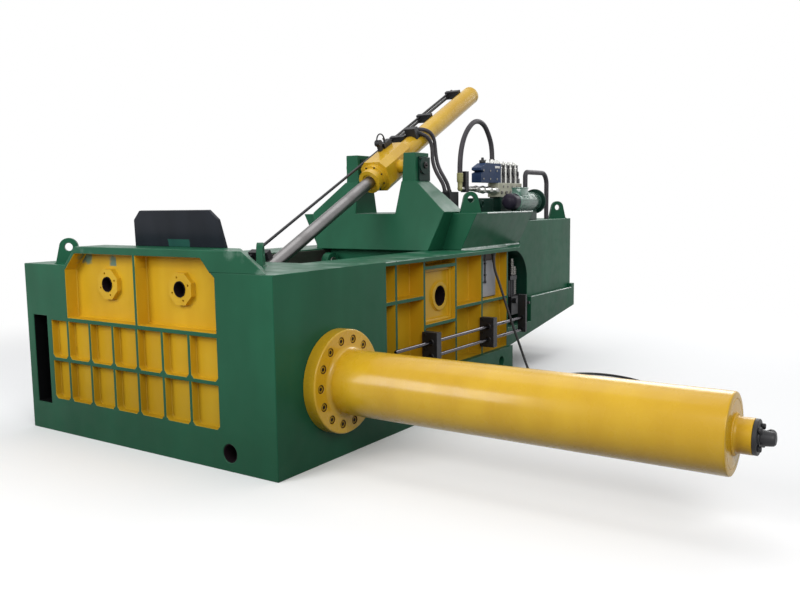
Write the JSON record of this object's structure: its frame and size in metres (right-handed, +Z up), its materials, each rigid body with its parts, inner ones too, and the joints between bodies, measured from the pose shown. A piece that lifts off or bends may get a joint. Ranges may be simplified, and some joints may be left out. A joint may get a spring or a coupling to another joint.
{
  "type": "recycling baler",
  "caption": "Scrap metal baler: welded press box with side, main and lid cylinders, a gate, a leaning yoke over the lid and hydraulic valves on top.",
  "frame": {"origin": "on the floor, on the press box's centre plane, 520 mm behind the front face", "axes": "+X towards the side cylinder, +Y to the rear along the main cylinder, +Z up"},
  "size_m": [5.141, 5.155, 2.8741],
  "materials": {
    "green": "glossy paint",
    "yellow": "glossy paint",
    "dark_green": "glossy paint",
    "black": "satin paint",
    "blue": "satin paint",
    "pale": "satin paint",
    "chrome": "polished",
    "steel": "machined",
    "rubber": "matt"
  },
  "bodies": {
    "frame": {"bale_box": "green", "bay_hoses": "steel", "bay_valves": "black", "cable_coil": "rubber", "cable_gland": "black", "cable_plug": "black", "chamber_floor": "green", "chamber_liners": "steel", "control_cable": "rubber", "deck_plate": "green", "front_block": "green", "gate_cover": "green", "gate_cylinder_tube": "yellow", "guard_plate": "black", "guide_blocks": "black", "hinge_pins": "steel", "junction_cover": "steel", "lid_hoses": "rubber", "lifting_ears": "green", "line_blocks": "black", "main_cylinder_tube": "yellow", "manifold": "pale", "motor": "dark_green", "port_flanges": "yellow", "pressure_hose": "rubber", "pressure_line": "steel", "rear_housing": "green", "rear_skirts": "green", "rigid_pipe": "rubber", "side_cylinder_boss": "yellow", "side_cylinder_flange": "yellow", "side_cylinder_tube": "yellow", "side_flange_bolts": "steel", "side_port_fitting": "yellow", "side_wall_left": "green", "side_wall_right": "green", "solenoid_valves": "steel", "top_boxes": "green", "trunnion_bearings": "dark_green", "valve_body": "blue", "valve_stand": "dark_green", "window_panel": "yellow", "yoke": "green"},
    "side_ram": {"side_ram_rod": "chrome", "side_ram_head": "steel"},
    "main_ram": {"main_ram_rod": "chrome", "main_ram_head": "steel"},
    "lid": {"lid": "green", "lid_lugs": "green", "eye_pin": "steel"},
    "lid_cylinder": {"lid_cylinder_tube": "yellow", "lid_trunnion_block": "yellow", "stroke_guides": "black", "lid_cylinder_fittings": "black"},
    "lid_rod": {"lid_rod": "chrome", "stroke_bar": "black"},
    "gate": {"gate_plate": "steel", "gate_rod": "chrome"},
    "trip_rods": {"trip_rods": "chrome", "trip_bracket": "black"}
  },
  "joints": [
    {"name": "side_ram_slide", "type": "slide", "parent": "frame", "child": "side_ram", "axis": [-1, 0, 0], "range_m": [0, 1.75]},
    {"name": "main_ram_slide", "type": "slide", "parent": "frame", "child": "main_ram", "axis": [0, -1, 0], "range_m": [0, 1.524]},
    {"name": "gate_slide", "type": "slide", "parent": "frame", "child": "gate", "axis": [0, -1, 0], "range_m": [0, 0.515]},
    {"name": "trip_rod_slide", "type": "slide", "parent": "frame", "child": "trip_rods", "axis": [0, -1, 0], "range_m": [0, 0.25]},
    {"name": "lid_hinge", "type": "hinge", "parent": "frame", "child": "lid", "pos_m": [0, 1.9, 1.13], "axis": [-1, 0, 0], "range_deg": [0, 45]},
    {"name": "lid_cylinder_tilt", "type": "hinge", "parent": "frame", "child": "lid_cylinder", "pos_m": [0, 2.195, 1.992], "axis": [-1, 0, 0], "range_deg": [0, 32.1], "deforming": ["lid_hoses"]},
    {"name": "lid_rod_slide", "type": "slide", "parent": "lid_cylinder", "child": "lid_rod", "axis": [0, 0.892, 0.452], "range_m": [0, 0.596]}
  ],
  "couplings": [
    {"joint": "lid_cylinder_tilt", "follows": "lid_hinge", "ratio": 0.712},
    {"joint": "lid_rod_slide", "follows": "lid_hinge", "m_per_rad": 0.758}
  ]
}
